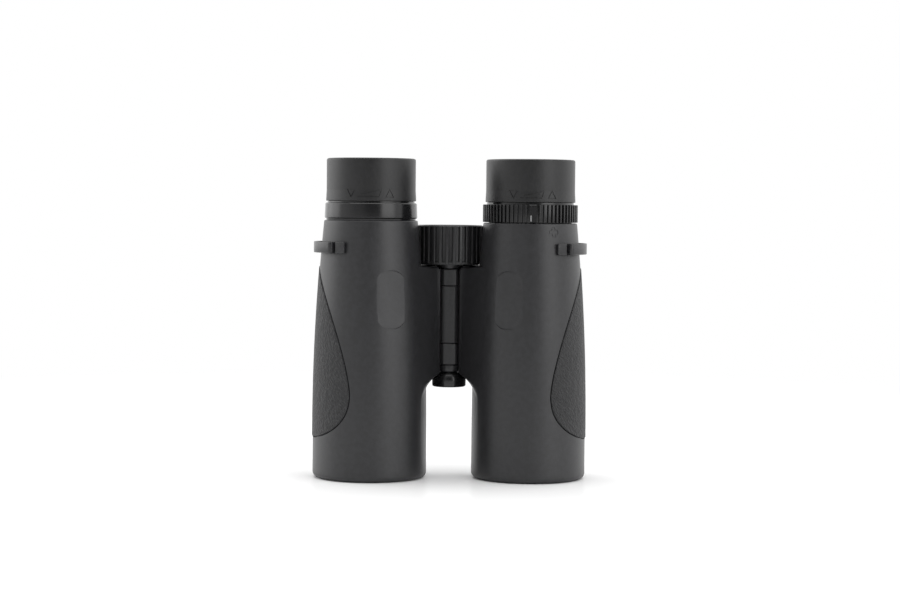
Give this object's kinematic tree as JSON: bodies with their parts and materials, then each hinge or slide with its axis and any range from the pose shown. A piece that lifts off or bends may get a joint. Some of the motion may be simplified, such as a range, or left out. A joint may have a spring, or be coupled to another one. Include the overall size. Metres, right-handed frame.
{
  "type": "roof-prism binoculars",
  "caption": "Rubber-armoured roof-prism binoculars with a folding central hinge, focus knob, diopter ring and twist-up eyecups.",
  "frame": {"origin": "between the two barrels, on the plane that the objective ends stand on", "axes": "+Z along the optical axes towards the eyepieces, +X towards the barrel with the diopter ring, -Y towards the underside with the thumb rests"},
  "size_m": [0.1278, 0.0533, 0.148],
  "materials": {
    "armor_rubber": "matte soft-touch, fine grain",
    "grip_rubber": "matte, leather-like grain",
    "eyecup_rubber": "matte soft-touch",
    "knob_rubber": "satin, ribbed",
    "black_metal": "black satin",
    "hinge_metal": "black anodised, satin",
    "black_plastic": "black satin",
    "satin_ring": "black, semi-gloss",
    "coated_glass": "polished, coated",
    "prism_glass": "polished",
    "steel": "machined",
    "brass": "machined"
  },
  "bodies": {
    "left_half": {"left_armor": "armor_rubber", "left_body_shell": "black_metal", "left_grip_panel": "grip_rubber", "left_strap_lug": "black_plastic", "left_objective_ring": "black_metal", "left_objective_lens": "coated_glass", "left_prism_cage": "black_metal", "left_half_prism": "prism_glass", "left_roof_prism": "prism_glass", "left_eyepiece_tube": "black_metal", "left_eye_lens": "coated_glass", "left_field_cell": "black_metal", "left_field_lens": "coated_glass", "left_ocular_ring": "satin_ring", "hinge_axle": "hinge_metal", "upper_collar": "hinge_metal", "lower_collar": "hinge_metal"},
    "right_half": {"right_armor": "armor_rubber", "right_body_shell": "black_metal", "right_grip_panel": "grip_rubber", "right_strap_lug": "black_plastic", "right_objective_ring": "black_metal", "right_objective_lens": "coated_glass", "right_prism_cage": "black_metal", "right_half_prism": "prism_glass", "right_roof_prism": "prism_glass", "right_eyepiece_tube": "black_metal", "right_eye_lens": "coated_glass"},
    "focus_knob": {"focus_knob_grip": "knob_rubber", "focus_knob_core": "black_plastic", "focus_knob_cap": "black_plastic", "focus_screw": "brass"},
    "left_focuser": {"focus_nut": "brass", "left_focus_arm": "steel", "left_focusing_cell": "black_metal", "left_focusing_lens": "coated_glass"},
    "right_focuser": {"right_focus_arm": "steel", "right_focusing_cell": "black_metal", "right_focusing_lens": "coated_glass"},
    "diopter_ring": {"diopter_ring": "satin_ring"},
    "diopter_lens": {"right_field_cell": "black_metal", "right_field_lens": "coated_glass"},
    "left_eyecup_lift": {"left_lift_ring": "black_plastic"},
    "left_eyecup": {"left_eyecup_sleeve": "black_plastic", "left_eyecup": "eyecup_rubber"},
    "right_eyecup_lift": {"right_lift_ring": "black_plastic"},
    "right_eyecup": {"right_eyecup_sleeve": "black_plastic", "right_eyecup": "eyecup_rubber"},
    "tripod_cap": {"tripod_cap": "hinge_metal"}
  },
  "joints": [
    {"name": "fold", "type": "hinge", "parent": "left_half", "child": "right_half", "pos_m": [0, 0.011, 0], "axis": [0, 0, -1], "range_deg": [0, 54]},
    {"name": "left_focus", "type": "slide", "parent": "left_half", "child": "left_focuser", "axis": [0, 0, 1], "range_m": [-0.0025, 0.0025]},
    {"name": "right_focus", "type": "slide", "parent": "right_half", "child": "right_focuser", "axis": [0, 0, 1], "range_m": [-0.0025, 0.0025]},
    {"name": "focus", "type": "hinge", "parent": "left_half", "child": "focus_knob", "pos_m": [0, 0.011, 0], "axis": [0, 0, 1], "range_deg": [-270, 270]},
    {"name": "diopter_focus", "type": "slide", "parent": "right_half", "child": "diopter_lens", "axis": [0, 0, 1], "range_m": [-0.0015, 0.0015]},
    {"name": "diopter", "type": "hinge", "parent": "right_half", "child": "diopter_ring", "pos_m": [0.037, 0, 0], "axis": [0, 0, 1], "range_deg": [-35, 35]},
    {"name": "tripod_cap_off", "type": "slide", "parent": "left_half", "child": "tripod_cap", "axis": [0, 0, -1], "range_m": [0, 0.012]},
    {"name": "left_eyecup_rise", "type": "slide", "parent": "left_half", "child": "left_eyecup_lift", "axis": [0, 0, 1], "range_m": [0, 0.008]},
    {"name": "left_eyecup_twist", "type": "hinge", "parent": "left_eyecup_lift", "child": "left_eyecup", "pos_m": [-0.037, 0, 0], "axis": [0, 0, 1], "range_deg": [0, 150]},
    {"name": "right_eyecup_rise", "type": "slide", "parent": "right_half", "child": "right_eyecup_lift", "axis": [0, 0, 1], "range_m": [0, 0.008]},
    {"name": "right_eyecup_twist", "type": "hinge", "parent": "right_eyecup_lift", "child": "right_eyecup", "pos_m": [0.037, 0, 0], "axis": [0, 0, 1], "range_deg": [0, 150]}
  ],
  "couplings": [
    {"joint": "focus", "follows": "left_focus", "rad_per_m": 1884.9},
    {"joint": "right_focus", "follows": "left_focus", "ratio": 1},
    {"joint": "diopter", "follows": "diopter_focus", "rad_per_m": 407.2},
    {"joint": "left_eyecup_twist", "follows": "left_eyecup_rise", "rad_per_m": 327.2},
    {"joint": "right_eyecup_twist", "follows": "right_eyecup_rise", "rad_per_m": 327.2}
  ]
}
